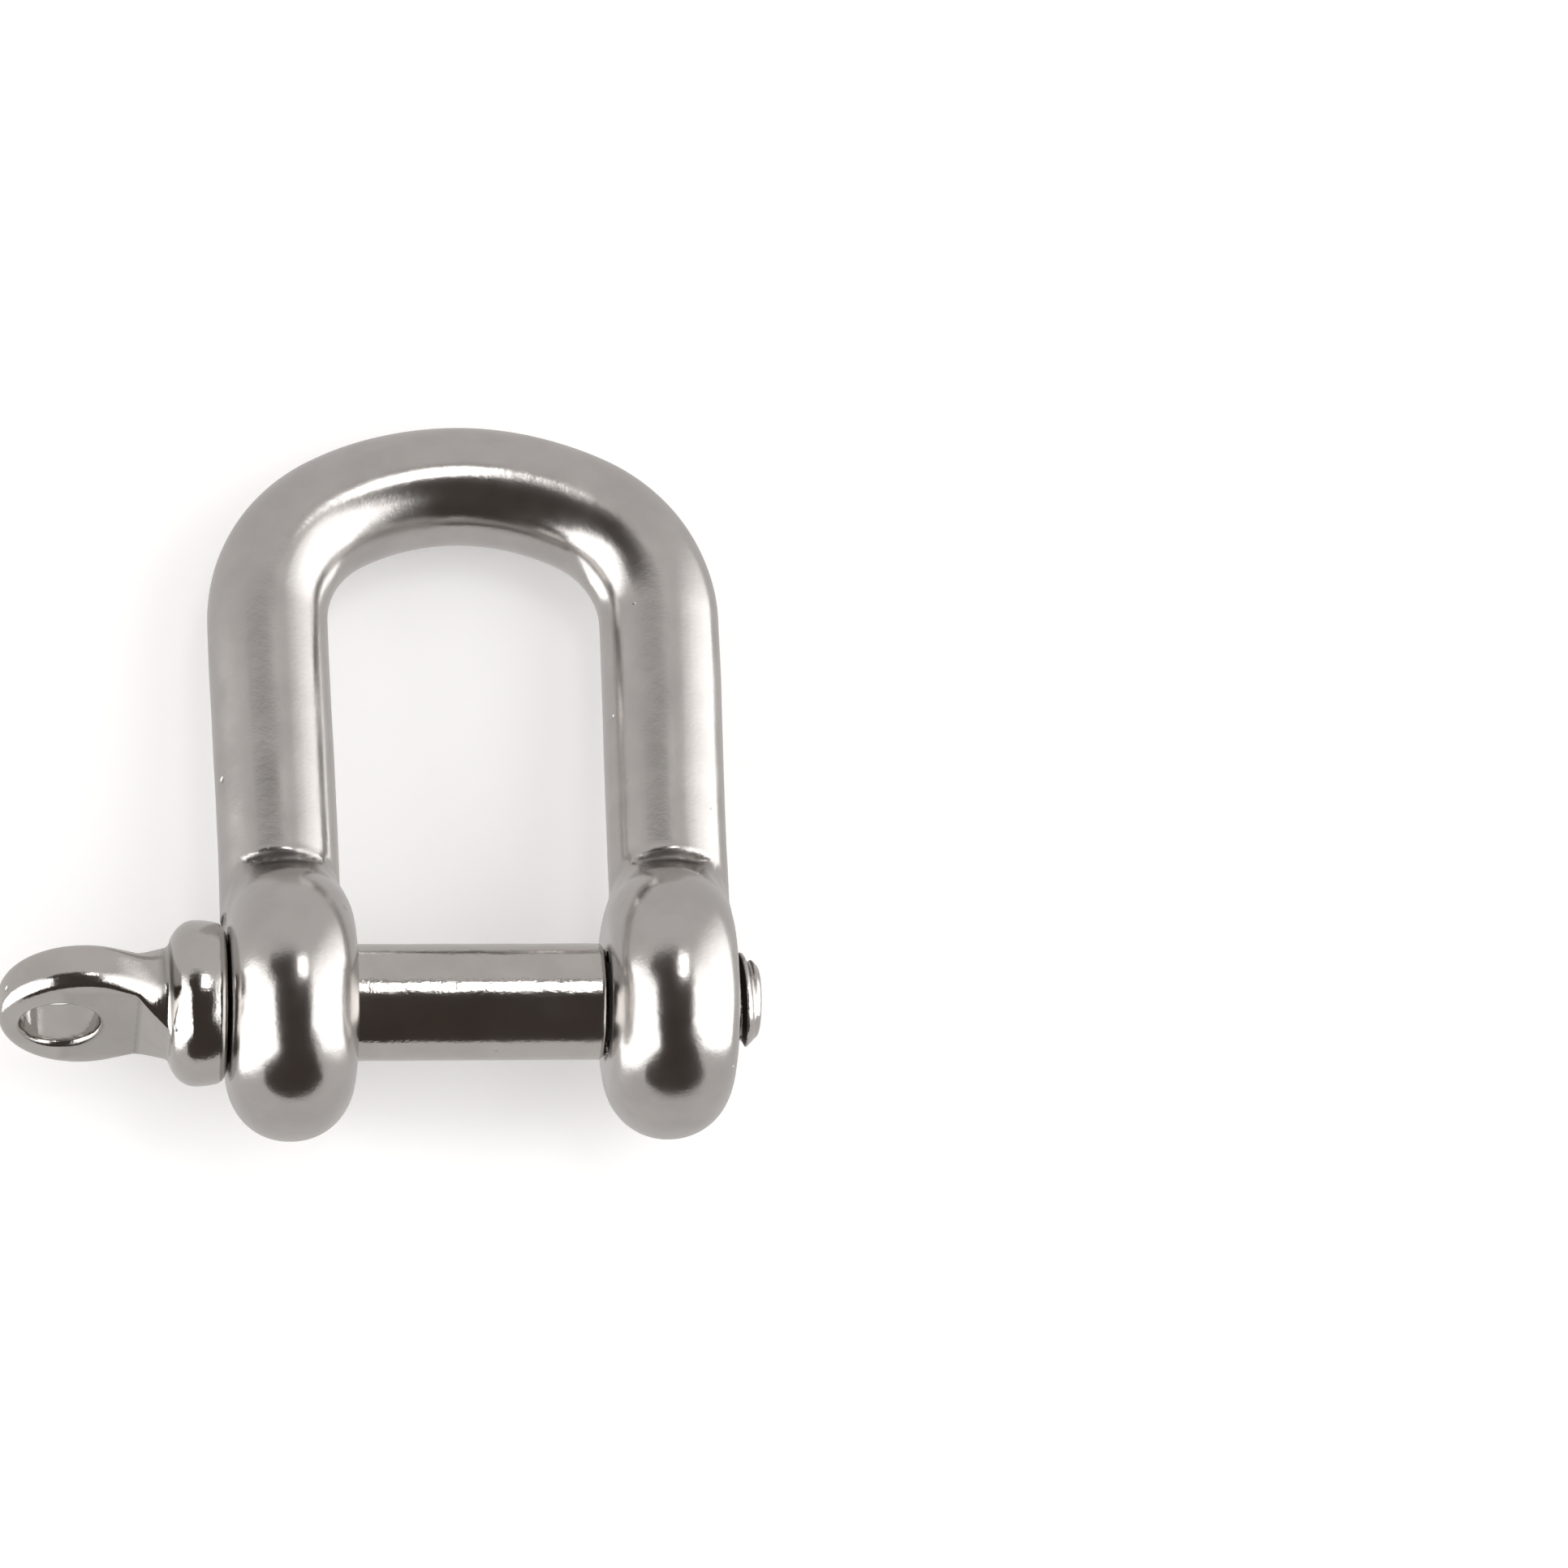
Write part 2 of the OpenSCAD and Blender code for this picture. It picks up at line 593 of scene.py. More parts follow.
@dataclass(frozen=True)
class PolishedSteel:
    """Stainless steel, polished to a shine, with fine grain, faint rubbing marks, a few pits and painted
    shade in its creases.

    Scales are in marks per metre, and spans are cut out of noise that runs from 0 to 1.

    Args:
        name: The material's name.
        colour: Reflected colour.
        roughness: Roughness of the cleanest metal.
        roughness_spread: How much rougher the dullest patches are.
        grain: Height of the grain, in metres.
        pit_depth: Depth of the pits, in metres.
        lathe_marks: Height of the rings left by turning, in metres; 0 for none.
        worn: Brightness of the worn patches, as a share of the clean metal's.
        worn_scale: Scale of the worn patches.
        worn_span: Span from the worn patches to the clean ones.
        dull_scale: Scale of the dull patches.
        dull_span: Span from the shiny patches to the dull ones.
        grain_scale: Scale of the grain.
        fine_grain: Height of the fine grain, as a share of the grain's.
        fine_grain_scale: Scale of the fine grain.
        pit_scale: Scale of the pits.
        pit_span: From a pit's floor to its rim, in multiples of the pits' spacing.
        pitted_scale: Scale of the patches that have pits.
        pitted_span: Span from the pitted patches to the clean ones, highest first.
        lathe_scale: Scale of the rings.
        lathe_wobble: Unevenness of the rings.
        crease_shade_colour: Dark colour of the painted shade in the creases.
        crease_shade_span: Depth of crease from which the painted shade shows, and at which it is full.
        crease_shade_roughness: How much rougher the metal is where the painted shade lies.
    """

    name: str
    colour: Colour
    roughness: float
    roughness_spread: float
    grain: float
    pit_depth: float
    lathe_marks: float = 0.0
    worn: float = 0.93
    worn_scale: float = 420.0
    worn_span: Span = (0.38, 0.6)
    dull_scale: float = 260.0
    dull_span: Span = (0.35, 0.7)
    grain_scale: float = 1700.0
    fine_grain: float = 0.4
    fine_grain_scale: float = 7000.0
    pit_scale: float = 520.0
    pit_span: Span = (0.03, 0.11)
    pitted_scale: float = 300.0
    pitted_span: Span = (0.58, 0.56)
    lathe_scale: float = 1700.0
    lathe_wobble: float = 1.5
    crease_shade_colour: Colour = (0.1, 0.088, 0.08)
    crease_shade_span: Span = (0.12, 0.75)
    crease_shade_roughness: float = 0.35

    def build(self) -> bpy.types.Material:
        """Makes the material.

        Returns:
            The node material.
        """
        material = bpy.data.materials.new(self.name)
        wiring = Wiring(material)
        wiring.shader.inputs["Metallic"].default_value = 1.0
        # Painted shade: the deeper a crease, the darker and rougher the metal is made there
        painted_shade = wiring.mapped(wiring.attribute(CREASE), self.crease_shade_span)
        wiring.dress("Base Color", self.tone(wiring, painted_shade))
        wiring.dress("Roughness", self.dullness(wiring, painted_shade))
        wiring.dress("Normal", self.relief(wiring))
        return material

    def tone(self, wiring: Wiring, painted_shade: bpy.types.NodeSocket) -> bpy.types.NodeSocket:
        """Colour, with faint worn patches and painted shade in the creases.

        Args:
            wiring: The material's nodes.
            painted_shade: How much painted shade there is.

        Returns:
            The colour.
        """
        clean = wiring.mapped(wiring.noise(self.worn_scale, Layers.FINE), self.worn_span)
        worn = tuple(c * self.worn for c in self.colour)
        # Painted shade: the colour is blended towards a dark tone in the creases
        return wiring.blend(painted_shade, wiring.blend(clean, worn, self.colour), self.crease_shade_colour)

    def dullness(self, wiring: Wiring, painted_shade: bpy.types.NodeSocket) -> bpy.types.NodeSocket:
        """Roughness, with dull patches, and rougher metal where the painted shade lies.

        Args:
            wiring: The material's nodes.
            painted_shade: How much painted shade there is.

        Returns:
            The roughness.
        """
        spread = (self.roughness, self.roughness + self.roughness_spread)
        metal = wiring.mapped(wiring.noise(self.dull_scale, Layers.FINEST), self.dull_span, spread)
        return wiring.reckon(Sum.SCALE_AND_ADD, painted_shade, self.crease_shade_roughness, metal)

    def relief(self, wiring: Wiring) -> bpy.types.NodeSocket:
        """Grain, pits in some patches, and the rings of the lathe.

        Args:
            wiring: The material's nodes.

        Returns:
            The surface's normal.
        """
        rims = wiring.mapped(wiring.pits(self.pit_scale), self.pit_span)
        clean = wiring.mapped(wiring.noise(self.pitted_scale, Layers.PLAIN), self.pitted_span)
        fine = wiring.noise(self.fine_grain_scale, Layers.FINE)
        coarse = wiring.noise(self.grain_scale, Layers.FINE)
        normal = wiring.bump(fine, self.grain * self.fine_grain)
        normal = wiring.bump(coarse, self.grain, normal)
        normal = wiring.bump(wiring.reckon(Sum.TAKE_LARGER, rims, clean), self.pit_depth, normal)
        if self.lathe_marks:
            rings = wiring.rings(self.lathe_scale, self.lathe_wobble)
            normal = wiring.bump(rings, self.lathe_marks, normal)
        return normal


CAST_FINISH = PolishedSteel(
    "polished cast stainless",
    colour=(0.62, 0.6, 0.585),
    roughness=0.16,
    roughness_spread=0.1,
    grain=7.0e-6,
    pit_depth=6.0e-5,
)
TURNED_FINISH = PolishedSteel(
    "polished turned stainless",
    colour=(0.64, 0.62, 0.6),
    roughness=0.1,
    roughness_spread=0.08,
    grain=1.3e-5,
    pit_depth=4.0e-5,
    lathe_marks=4.0e-7,
)


# The two pieces of the shackle


@dataclass
class MetalPart(ABC):
    """One solid metal piece of the shackle, in millimetres.

    Args:
        low: Lowest corner of its CAD node.
        high: Highest corner of its CAD node.
        cell: Size of its mesh's cells.
    """

    low: np.ndarray
    high: np.ndarray
    cell: float

    piece: ClassVar[str]
    node: ClassVar[str]
    body: ClassVar[Body]
    slot: ClassVar[Slot]

    @classmethod
    def fitted(cls) -> Self:
        """Makes the part to fit its CAD node."""
        low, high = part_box(cls.node)
        return cls(np.array(low) / MM, np.array(high) / MM)

    @abstractmethod
    def distance(self, p: np.ndarray) -> np.ndarray:
        """The whole part.

        Args:
            p: Points, in millimetres.

        Returns:
            Distances to the part.
        """

    def creases(self, mesher: Mesher, points: np.ndarray) -> np.ndarray:
        """How deep in a crease each point of the surface lies, which sets how much painted shade the finish
        puts there.

        Args:
            mesher: What meshes the part.
            points: Points of the surface, in millimetres.

        Returns:
            The depth at each point, from 0 in the open to 1.
        """
        outward = mesher.slope(self.distance, points)
        outward /= np.maximum(np.linalg.norm(outward, axis=1, keepdims=True), TINY)
        open_air = self.distance(points + outward * CREASE_REACH) / CREASE_REACH
        return np.clip(1.0 - open_air, 0.0, 1.0).astype(np.float32)

    def build(self, finish: bpy.types.Material) -> bpy.types.Object:
        """Meshes the part, dresses it and puts it in its CAD node's place.

        Args:
            finish: The metal's material.

        Returns:
            The new piece.
        """
        mesher = Mesher(self.cell)
        points, quads = mesher.build(self.distance, self.low, self.high)
        mesh = bpy.data.meshes.new(self.piece)
        mesh.from_pydata((points * MM).tolist(), [], quads.tolist())
        mesh.shade_smooth()
        mesh.materials.append(finish)
        crease = mesh.attributes.new(CREASE, "FLOAT", "POINT")
        crease.data.foreach_set("value", self.creases(mesher, points))
        made = bpy.data.objects.new(self.piece, mesh)
        bpy.context.scene.collection.objects.link(made)
        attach(made, self.body.value)
        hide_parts(self.node)
        return made


@dataclass
class ShackleBody(MetalPart):
    """The cast body: a round bar bent to a dee, with a rounded ear at the foot of each leg.

    Args:
        cell: Size of the mesh's cells.
        bar_radius: Radius of the bar.
        shoulder_radius: Centre-line radius of the crown's two shoulders.
        shoulder_angle: Angle that each shoulder turns through, in radians.
        foot: Height of the legs' lower ends above the pin axis, inside the ears.
        spread: How far each leg spreads outwards on its way up to the crown.
        step_start: Height above the pin axis where the bar steps in, front and back.
        step_in: How far it steps in.
        step_height: Half the height over which it steps in.
        step_bow: Rise of the step's edge at 1 mm from the bar's middle; it grows with the square.
        step_reach: How far from the bar's middle the edge still rises.
        step_clear: Rise past the step, in multiples of its height, beyond which nothing is cut.
        step_slant: Slant of the step, which its distances are divided by.
        step_blend: Rounding of the step's edge.
        ear_width: Thickness of each ear along the pin.
        ear_edge: Rounding of the ears' rims.
        ear_inset: How far inside its leg's centre line each ear's middle lies.
        side_fillet: Fillet between ear and leg, at the sides.
        front_fillet: How much wider the fillet is at the front and back.
        fillet_from: Distance from the bow's middle plane at which it starts to widen.
        fillet_over: Distance over which it widens.
        plain_bore: Radius of the plain hole, in the ear beside the pin's head.
        tapped_bore: Radius of the tapped hole, in the other ear.
        tap_depth: Depth of the thread in it.
        bore_edge: Rounding of the holes' edges.
        spot_face: Radius of the seat for the pin's collar.
        seat_edge: Rounding of the seat's edge.
        skin: Waviness of the cast surface.
    """

    piece = "cast_body"
    node = "shackle_body"
    body = Body.BOW
    slot = Slot.CAST

    cell: float = 0.18
    bar_radius: float = 3.1
    shoulder_radius: float = 7.1
    shoulder_angle: float = math.atan2(15, 8)
    foot: float = 2.0
    spread: float = 0.22
    step_start: float = 7.2
    step_in: float = 0.8
    step_height: float = 0.5
    step_bow: float = 0.05
    step_reach: float = 3.0
    step_clear: float = 4.0
    step_slant: float = 1.5
    step_blend: float = 0.1
    ear_width: float = 6.5
    ear_edge: float = 3.18
    ear_inset: float = 0.35
    side_fillet: float = 0.35
    front_fillet: float = 0.75
    fillet_from: float = 0.8
    fillet_over: float = 1.4
    plain_bore: float = 3.08
    tapped_bore: float = 2.58
    tap_depth: float = 0.3
    bore_edge: float = 0.3
    spot_face: float = 4.55
    seat_edge: float = 0.08
    skin: Waviness = Waviness(depth=0.01, wave=6.5)

    @property
    def ear_radius(self) -> float:
        """Radius of each ear."""
        return -self.low[1]

    @property
    def half_spacing(self) -> float:
        """Distance from the bow's middle to each leg's centre line."""
        return self.high[0] - self.bar_radius

    @property
    def ear_middle(self) -> float:
        """Distance from the bow's middle to each ear's middle."""
        return self.half_spacing - self.ear_inset

    @property
    def shoulder_x(self) -> float:
        """Distance from the bow's middle to the centre of each shoulder."""
        return self.half_spacing - self.shoulder_radius

    @property
    def crown_radius(self) -> float:
        """Centre-line radius of the crown's top, which meets the shoulders smoothly."""
        return self.shoulder_radius + self.shoulder_x / math.cos(self.shoulder_angle)

    @property
    def crown_y(self) -> float:
        """Height of the centre of the crown's top."""
        return self.high[1] - self.bar_radius - self.crown_radius

    @property
    def leg_top(self) -> float:
        """Height at which the legs end and the shoulders start."""
        return self.crown_y + self.shoulder_x * math.tan(self.shoulder_angle)

    def centre_line(self, side: np.ndarray, y: np.ndarray) -> np.ndarray:
        """The bar's centre line, seen square on.

        Args:
            side: Distance from the bow's middle, in millimetres.
            y: Height above the pin axis, in millimetres.

        Returns:
            How far outside the centre line each point lies.
        """
        from_shoulder = np.hypot(side - self.shoulder_x, y - self.leg_top) - self.shoulder_radius
        from_crown = np.hypot(side, y - self.crown_y) - self.crown_radius
        turn = math.cos(self.shoulder_angle) * (y - self.leg_top)
        turn -= math.sin(self.shoulder_angle) * (side - self.shoulder_x)
        across = np.where(turn > 0.0, from_crown, from_shoulder)
        return np.where(y < self.leg_top, side - self.half_spacing, across)

    def bar(self, p: np.ndarray) -> np.ndarray:
        """The bent bar, from foot to foot, stepped in above the ears.

        Args:
            p: Points, in millimetres.

        Returns:
            Distances to the bar.
        """
        side, y, z = np.abs(p[:, 0]), p[:, 1], p[:, 2]
        risen = np.clip((y - self.step_start) / (self.leg_top - self.step_start), 0.0, 1.0)
        side = side - self.spread * ease(risen) * np.clip(side / self.half_spacing, 0.0, 1.0)
        across = self.centre_line(side, y)
        below = np.maximum(self.foot - y, 0.0)
        bar = np.sqrt(across**2 + z**2 + below**2) - self.bar_radius
        out = np.minimum(np.abs(side - self.half_spacing), self.step_reach)
        edge = self.step_start + self.step_bow * out**2
        rise = np.clip((y - edge) / (2.0 * self.step_height) + 0.5, 0.0, self.step_clear)
        depth = self.bar_radius - self.step_in * (1.0 - 2.0 * rise)
        return smooth_intersection(bar, (np.abs(z) - depth) / self.step_slant, self.step_blend)

    def ear(self, p: np.ndarray) -> np.ndarray:
        """Both ears.

        Args:
            p: Points, in millimetres.

        Returns:
            Distances to the nearer ear.
        """
        along, out = np.abs(p[:, 0]) - self.ear_middle, np.hypot(p[:, 1], p[:, 2])
        return rounded_block(along, out, self.ear_width / 2.0, self.ear_radius, self.ear_edge)

    def hole(self, p: np.ndarray) -> np.ndarray:
        """The plain hole at the pin's head and the tapped hole at its point.

        Args:
            p: Points, in millimetres.

        Returns:
            Distances to the holes.
        """
        out = np.hypot(p[:, 1], p[:, 2])
        tap = Thread(self.tapped_bore + self.tap_depth, self.tapped_bore)
        return np.where(p[:, 0] > 0.0, out - tap.surface_radius(p), out - self.plain_bore)

    def distance(self, p: np.ndarray) -> np.ndarray:
        """The whole body: bar, ears, seat for the collar, and holes.

        Args:
            p: Points, in millimetres.

        Returns:
            Distances to the body.
        """
        front = np.clip((np.abs(p[:, 2]) - self.fillet_from) / self.fillet_over, 0.0, 1.0)
        fillet = self.side_fillet + self.front_fillet * front
        shape = smooth_union(self.bar(p), self.ear(p), fillet) + self.skin.height(p)
        face = self.ear_middle + self.ear_width / 2.0
        seat = np.maximum(np.hypot(p[:, 1], p[:, 2]) - self.spot_face, p[:, 0] + face)
        return smooth_cut(smooth_cut(shape, seat, self.seat_edge), self.hole(p), self.bore_edge)


@dataclass(frozen=True)
class Collar:
    """The pin's collar, in millimetres.

    Args:
        radius: Radius of the collar.
        outer: Its outer end, on the eye's side.
        seat: Its face that seats on the ear.
        outer_edge: Rounding of its outer rim.
        seat_edge: Rounding of its rim beside the ear.
        crown: How much lower its rims are than its middle.
    """

    radius: float = 4.25
    outer: float = -15.97
    seat: float = -13.02
    outer_edge: float = 1.3
    seat_edge: float = 0.5
    crown: float = 0.26

    def distance(self, p: np.ndarray) -> np.ndarray:
        """The collar.

        Args:
            p: Points, in millimetres.

        Returns:
            Distances to the collar.
        """
        half = (self.seat - self.outer) / 2.0
        along = p[:, 0] - (self.outer + self.seat) / 2.0
        edge = np.where(along < 0.0, self.outer_edge, self.seat_edge)
        out = np.hypot(p[:, 1], p[:, 2]) + self.crown * (along / half) ** 2
        return rounded_block(along, out, half, self.radius, edge)


@dataclass(frozen=True)
class FlatEye:
    """The flat eye at the pin's head, and the neck that grows out of it, in millimetres.

    Args:
        radius: Radius of the eye.
        thickness: Thickness of the eye.
        edge: Rounding of its rims.
        hole_radius: Radius of its hole.
        hole_offset: Distance of the hole's centre beyond the eye's centre.
        hole_edge: Rounding of the hole's edges.
        turn: Turn of the eye about the pin when the pin is tight, in degrees.
        neck_radius: Radius of the neck.
        neck_blend: Fillet between eye and neck.
        neck_overlap: How far the neck reaches into the collar.
        flats_start: Distance from the eye's centre at which the neck's flats start to widen.
        flats_length: Distance over which they widen to the full neck.
        flats_growth: How far each of them widens over that distance.
        flats_slant: Slant of the flats, which their distances are divided by.
        flats_edge: Rounding of their edges.
        flats_clear: Multiple of the flats' length beyond which they stop widening.
    """

    radius: float = 4.28
    thickness: float = 2.6
    edge: float = 0.8
    hole_radius: float = 2.0
    hole_offset: float = 1.15
    hole_edge: float = 0.35
    turn: float = 82.0
    neck_radius: float = 2.85
    neck_blend: float = 1.0
    neck_overlap: float = 1.0
    flats_start: float = 2.69
    flats_length: float = 2.26
    flats_growth: float = 1.65
    flats_slant: float = 1.24
    flats_edge: float = 0.12
    flats_clear: float = 3.0

    def distance(self, p: np.ndarray, centre: float, collar: float) -> np.ndarray:
        """The eye and its neck.

        Args:
            p: Points, in millimetres.
            centre: Place of the eye's centre along the pin.
            collar: Place of the collar's outer end along the pin.

        Returns:
            Distances to the eye.
        """
        turn = math.radians(self.turn)
        x, half = p[:, 0] - centre, self.thickness / 2.0
        through = p[:, 2] * math.cos(turn) - p[:, 1] * math.sin(turn)
        side = p[:, 1] * math.cos(turn) + p[:, 2] * math.sin(turn)
        disc = rounded_block(through, np.hypot(x, side), half, self.radius, self.edge)
        neck_end = collar - centre + self.neck_overlap
        neck = np.hypot(through, side) - self.neck_radius
        neck = np.maximum(neck, np.maximum(-x, x - neck_end))
        grown = np.clip((x - self.flats_start) / self.flats_length, 0.0, self.flats_clear)
        flats = (np.abs(through) - half - grown * self.flats_growth) / self.flats_slant
        solid = smooth_intersection(smooth_union(disc, neck, self.neck_blend), flats, self.flats_edge)
        hole = np.hypot(x + self.hole_offset, side) - self.hole_radius
        return smooth_cut(solid, hole, self.hole_edge)


@dataclass
class ScrewPin(MetalPart):
    """The pin: flat eye, neck, collar, plain shank and threaded point, all one piece.

    Args:
        cell: Size of the mesh's cells.
        shank_radius: Radius of the plain shank.
        shank_end: Where the shank ends, before the tapped ear.
        shank_root: Where the shank starts, inside the collar, measured from the collar's outer end.
        shank_edge: Rounding of the shank's end.
        collar: The collar.
        collar_fillet: Fillet between collar and shank.
        thread: The thread on the point.
        thread_slant: What the thread's distances are multiplied by, for the slant of its flanks.
        relief: Plain length between the shank's end and the first turn of the thread.
        core_inset: How far the point's plain core ends before its tip.
        chamfer: Chamfer of the point.
        chamfer_slant: What the chamfer's distances are multiplied by, for its slant.
        chamfer_edge: Rounding of the chamfer's edge.
        tip_edge: Rounding of the point's end.
        point_fillet: Fillet between shank and point.
        eye: The flat eye and its neck.
        eye_fillet: Fillet between neck and collar.
        undersize: How much smaller the pin is all over, which makes up for its waviness.
        skin: Waviness of the polished surface.
    """

    piece = "turned_pin"
    node = "screw_pin"
    body = Body.PIN
    slot = Slot.TURNED

    cell: float = 0.11
    shank_radius: float = 3.0
    shank_end: float = 6.35
    shank_root: float = 1.0
    shank_edge: float = 0.28
    collar: Collar = Collar()
    collar_fillet: float = 0.12
    thread: Thread = Thread(2.5, 2.02)
    thread_slant: float = 0.75
    relief: float = 0.7
    core_inset: float = 1.0
    chamfer: float = 0.75
    chamfer_slant: float = 0.7
    chamfer_edge: float = 0.12
    tip_edge: float = 0.15
    point_fillet: float = 0.1
    eye: FlatEye = FlatEye()
    eye_fillet: float = 0.3
    undersize: float = 0.006
    skin: Waviness = Waviness(depth=0.006, wave=3.1)

    def shank(self, p: np.ndarray) -> np.ndarray:
        """The plain shank.

        Args:
            p: Points, in millimetres.

        Returns:
            Distances to the shank.
        """
        start = self.collar.outer + self.shank_root
        half = (self.shank_end - start) / 2.0
        along = p[:, 0] - start - half
        return rounded_block(along, np.hypot(p[:, 1], p[:, 2]), half, self.shank_radius, self.shank_edge)

    def point(self, p: np.ndarray) -> np.ndarray:
        """The threaded point, on a plain core.

        Args:
            p: Points, in millimetres.

        Returns:
            Distances to the point.
        """
        x, out = p[:, 0] - self.high[0], np.hypot(p[:, 1], p[:, 2])
        screw = (out - self.thread.surface_radius(p)) * self.thread_slant
        slant = (out + x - self.thread.crest + self.chamfer) * self.chamfer_slant
        screw = smooth_intersection(screw, slant, self.chamfer_edge)
        screw = smooth_intersection(screw, x, self.tip_edge)
        screw = np.maximum(screw, self.shank_end + self.relief - p[:, 0])
        core = np.maximum(out - self.thread.root, np.maximum(x + self.core_inset, -p[:, 0]))
        return np.minimum(screw, core)

    def distance(self, p: np.ndarray) -> np.ndarray:
        """The whole pin.

        Args:
            p: Points, in millimetres.

        Returns:
            Distances to the pin.
        """
        turned = smooth_union(self.collar.distance(p), self.shank(p), self.collar_fillet)
        turned = smooth_union(turned, self.point(p), self.point_fillet)
        eye = self.eye.distance(p, self.low[0] + self.eye.radius, self.collar.outer)
        return smooth_union(turned, eye, self.eye_fillet) + self.undersize + self.skin.height(p)


# Studio


# What the parts of the set give off, and the roughness of their surfaces
WHITE: Colour = (2.3, 2.27, 2.24)
LAMP: Colour = (5.0, 4.9, 4.8)
DARK: Colour = (0.055, 0.044, 0.038)
PLAIN: Colour = (1.0, 1.0, 1.0)
BLACK: Colour = (0.0, 0.0, 0.0)
MATT = 0.9


def sheet(name: str, corners: list[Vector], sides: list[tuple[int, ...]] | None = None) -> bpy.types.Object:
    """Matt sheet of the set, which is not part of the shackle.

    Args:
        name: The sheet's name.
        corners: Its corners, in metres.
        sides: Its sides, by corner number; one flat side through all the corners, if not given.

    Returns:
        The sheet.
    """
    mesh = bpy.data.meshes.new(name)
    mesh.from_pydata(corners, [], sides or [tuple(range(len(corners)))])
    made = bpy.data.objects.new(name, mesh)
    bpy.context.scene.collection.objects.link(made)
    material = bpy.data.materials.new(name)
    material.use_nodes = True
    shader = material.node_tree.nodes["Principled BSDF"]
    shader.inputs["Roughness"].default_value = MATT
    shader.inputs["Specular IOR Level"].default_value = 0.0
    mesh.materials.append(material)
    return made


def light_up(made: bpy.types.Object, glow: Colour, strength: float = 1.0, colour: Colour = BLACK) -> None:
    """Makes a sheet of the set give off light.

    Args:
        made: The sheet.
        glow: Light that it gives off.
        strength: What that light is multiplied by.
        colour: Colour of the sheet itself.
    """
    shader = made.data.materials[0].node_tree.nodes["Principled BSDF"]
    shader.inputs["Base Color"].default_value = (*colour, 1.0)
    shader.inputs["Emission Color"].default_value = (*glow, 1.0)
    shader.inputs["Emission Strength"].default_value = strength


@dataclass(frozen=True)
class StudioCamera:
    """Long lens, nearly overhead, a little to the side of the pin's head.

    Args:
        azimuth: Direction of the camera round Z, in degrees; 0 is on the pin's side.
        elevation: Height of the camera above the horizon, in degrees.
        roll: Turn of the camera about its own axis, in degrees.
        distance: Distance from the middle of the pin, in metres.
        lens: Focal length, in millimetres.
        sensor: Width of the sensor, in millimetres.
        aim: How far right of and above the middle of the pin the camera aims, in metres.
        clip: Nearest and farthest distance that it sees, in metres.
    """

    azimuth: float = -14.1
    elevation: float = 67.3
    roll: float = 12.8
    distance: float = 0.442
    lens: float = 197.7
    sensor: float = 36.0
    aim: Span = (0.01563, 0.0112)
    clip: Span = (0.01, 10.0)

    def axes(self) -> tuple[Vector, Vector, Vector]:
        """The camera's own directions.

        Returns:
            Right, up and backwards.
        """
        a, e, r = (math.radians(v) for v in (self.azimuth, self.elevation, self.roll))
        back = Vector((math.sin(a) * math.cos(e), -math.cos(a) * math.cos(e), math.sin(e)))
        right = Vector((math.cos(a), math.sin(a), 0.0))
        up = back.cross(right)
        return right * math.cos(r) + up * math.sin(r), up * math.cos(r) - right * math.sin(r), back

    def build(self) -> bpy.types.Object:
        """Makes the camera and hands it to the scene.

        Returns:
            The camera.
        """
        right, up, back = self.axes()
        place = back * self.distance
        look = (place - right * self.aim[0] - up * self.aim[1]).normalized()
        side = up.cross(look).normalized()
        data = bpy.data.cameras.new("studio camera")
        data.lens = self.lens
        data.sensor_width = self.sensor
        data.clip_start, data.clip_end = self.clip
        data.dof.use_dof = False
        camera = bpy.data.objects.new("studio camera", data)
        turn = Matrix((side, look.cross(side), look)).transposed().to_4x4()
        camera.matrix_world = Matrix.Translation(place) @ turn
        bpy.context.scene.collection.objects.link(camera)
        bpy.context.scene.camera = camera
        return camera


@dataclass(frozen=True)
class Panel:
    """Flat panel of the set, which the metal mirrors: a softbox, a lamp or a dark card.

    Args:
        name: The panel's name.
        facing: Where it stands, seen from the shackle: degrees right of the camera, and above it.
        distance: Distance from the shackle, in metres.
        outline: Its corners across and up from its middle, in multiples of the distance.
        glow: Light that it gives off.
        fade: Heights between which it thins out to nothing, in multiples of the distance.
        lights_table: Whether the table sees it too.
    """

    name: str
    facing: Span
    distance: float
    outline: tuple[Span, ...]
    glow: Colour
    fade: Span = (1.5, 2.0)
    lights_table: bool = True

    def stand(self, camera: StudioCamera) -> Matrix:
        """Where the panel stands, and how it is turned.

        Args:
            camera: The camera that it is placed from.

        Returns:
            The panel's place.
        """
        right, up, back = camera.axes()
        turn, lift = (math.radians(v) for v in self.facing)
        middle = (back * math.cos(turn) + right * math.sin(turn)) * math.cos(lift) + up * math.sin(lift)
        across = right * math.cos(turn) - back * math.sin(turn)
        turned = Matrix((across, middle.cross(across), middle)).transposed().to_4x4()
        return Matrix.Translation(middle * self.distance) @ turned

    def build(self, camera: StudioCamera) -> bpy.types.Object:
        """Makes the panel.

        Args:
            camera: The camera that it is placed from.

        Returns:
            The panel.
        """
        made = sheet(self.name, [Vector((u, v, 0.0)) * self.distance for u, v in self.outline])
        made.matrix_world = self.stand(camera)
        light_up(made, self.glow)
        wiring = Wiring(made.data.materials[0])
        split = wiring.nodes.new("ShaderNodeSeparateXYZ")
        wiring.links.new(wiring.place, split.inputs[0])
        low, high = (v * self.distance for v in self.fade)
        thin = wiring.mapped(split.outputs["Y"], (low, high), (1.0, 0.0))
        thin.node.interpolation_type = "SMOOTHSTEP"
        wiring.dress("Alpha", thin)
        made.visible_camera = made.visible_shadow = False
        made.visible_diffuse = self.lights_table
        return made


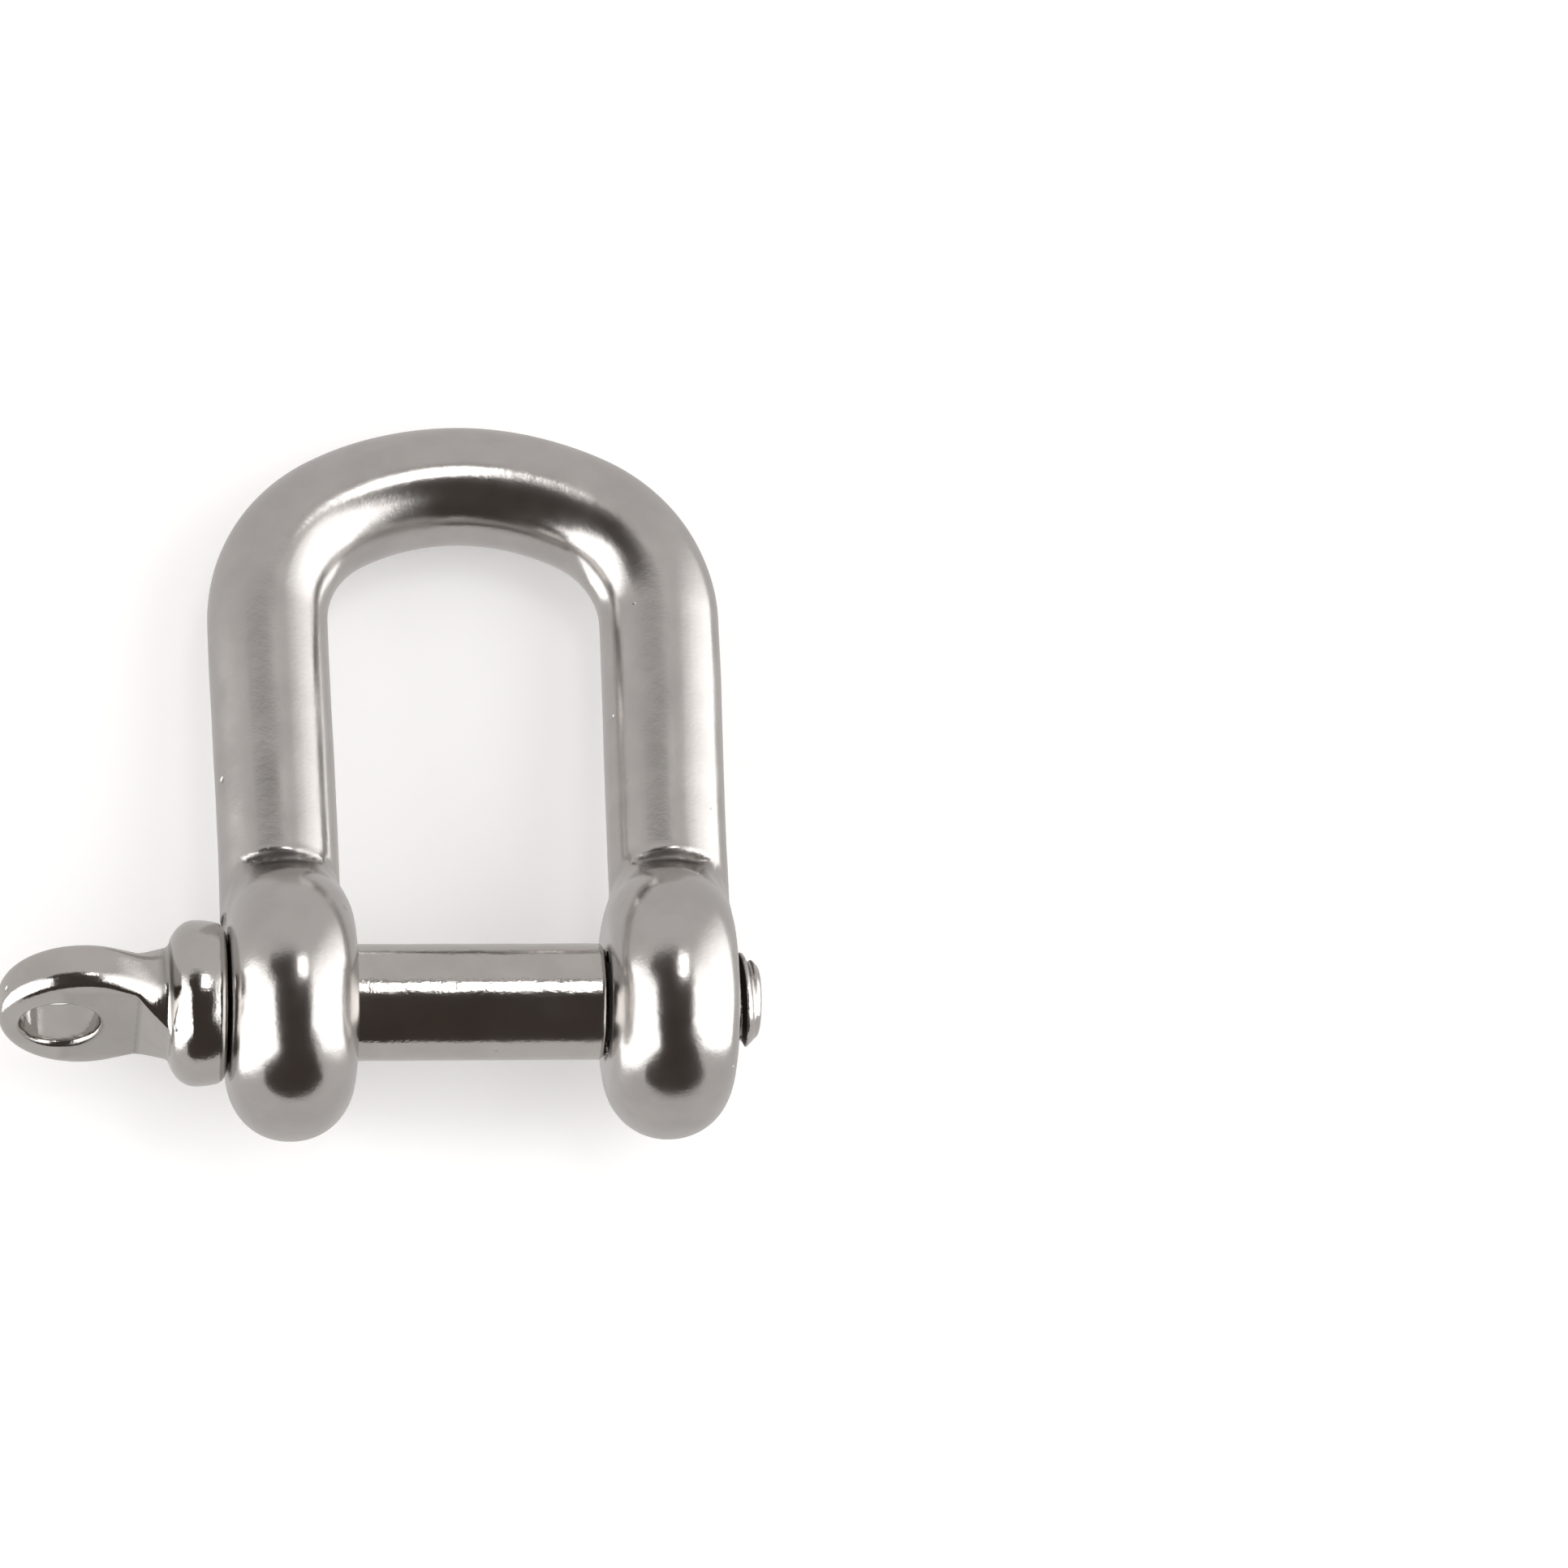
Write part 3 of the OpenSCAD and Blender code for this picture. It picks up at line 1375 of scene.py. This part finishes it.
PANELS = (
    Panel(
        "right softbox",
        facing=(76, 5),
        distance=0.5,
        outline=((-1.1, -0.55), (-0.35, -0.8), (1.1, -0.4), (1.1, 1.0), (-0.9, 0.9)),
        glow=WHITE,
        fade=(0.0, 1.0),
    ),
    Panel(
        "left softbox",
        facing=(-84, 5),
        distance=0.42,
        outline=((-0.95, -0.5), (1.5, -1.5), (1.1, 0.3), (0.4, 0.45), (-0.9, -0.1)),
        glow=WHITE,
        fade=(0.1, 0.5),
    ),
    Panel(
        "lamp",
        facing=(15, 33),
        distance=0.6,
        outline=((-0.09, -0.2), (0.09, -0.2), (0.09, 0.09), (-0.09, 0.09)),
        glow=LAMP,
    ),
    Panel(
        "dark card",
        facing=(0, 0),
        distance=0.7,
        outline=((-1.15, 1.2), (0.42, 1.2), (0.52, -0.5), (11, -13), (-11, -13), (-1.3, -0.5)),
        glow=DARK,
        fade=(0.7, 1.15),
        lights_table=False,
    ),
)


@dataclass(frozen=True)
class Studio:
    """Pale table in a pale room.

    Args:
        surround: Brightness of the room.
        table_colour: Colour of the table.
        table_glow: Light that comes up through the table.
        reach: Half of the table's width, in metres.
        backdrop_reach: Distance to the backdrop, in metres.
    """

    surround: Colour = (0.6, 0.58, 0.565)
    table_colour: Colour = (0.93, 0.93, 0.93)
    table_glow: float = 0.22
    reach: float = 0.45
    backdrop_reach: float = 1.2

    def surroundings(self) -> None:
        """Fills the room with even light."""
        world = bpy.data.worlds.new("pale room")
        world.use_nodes = True
        world.node_tree.nodes["Background"].inputs["Color"].default_value = (*self.surround, 1.0)
        bpy.context.scene.world = world

    def backdrop(self) -> bpy.types.Object:
        """Pale backdrop all round, which only the camera sees.

        Returns:
            The backdrop.
        """
        ends = (-1, 1)
        corners = [Vector((u, v, w)) * self.backdrop_reach for u in ends for v in ends for w in ends]
        sides = [(0, 1, 3, 2), (4, 6, 7, 5), (0, 4, 5, 1), (2, 3, 7, 6), (0, 2, 6, 4), (1, 5, 7, 3)]
        made = sheet("backdrop", corners, sides)
        light_up(made, PLAIN)
        made.visible_glossy = made.visible_diffuse = False
        made.visible_transmission = made.visible_shadow = False
        return made

    def table(self, body: ShackleBody) -> bpy.types.Object:
        """The table, touching both ears and the back of the crown.

        Args:
            body: The body that lies on it.

        Returns:
            The table.
        """
        crown = body.high[1] - body.bar_radius
        slope = math.asin((body.ear_radius - body.bar_radius) / crown)
        along = Vector((0.0, math.cos(slope), math.sin(slope)))
        normal = Vector((0.0, -math.sin(slope), math.cos(slope)))
        base = -normal * body.ear_radius * MM
        across = Vector((1.0, 0.0, 0.0))
        ends = ((-1, -1), (1, -1), (1, 1), (-1, 1))
        made = sheet("table", [base + (across * u + along * v) * self.reach for u, v in ends])
        light_up(made, PLAIN, self.table_glow, self.table_colour)
        made.visible_glossy = False
        return made

    def build(self, body: ShackleBody) -> None:
        """Sets up the room, the table, the camera and the panels.

        Args:
            body: The body that lies on the table.
        """
        self.surroundings()
        self.backdrop()
        self.table(body)
        camera = StudioCamera()
        camera.build()
        for panel in PANELS:
            panel.build(camera)
        bpy.context.scene.view_settings.view_transform = "Standard"


def dress_node(node: bpy.types.Object, finish: bpy.types.Material) -> None:
    """Gives a CAD node a piece's finish.

    Args:
        node: The CAD node.
        finish: The finish.
    """
    for slot in node.material_slots:
        slot.link = "OBJECT"
        slot.material = finish


def main() -> None:
    """Builds the shackle and its studio."""
    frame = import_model()

    body, pin = ShackleBody.fitted(), ScrewPin.fitted()
    for part, finish in ((body, CAST_FINISH.build()), (pin, TURNED_FINISH.build())):
        made = part.build(finish)
        dress_node(frame["nodes"][part.node], finish)
        LOG.info("%s: %d faces", made.name, len(made.data.polygons))
    Studio().build(body)
    LOG.info("studio: room, backdrop, table, camera and %d panels", len(PANELS))


if __name__ == "__main__":
    main()
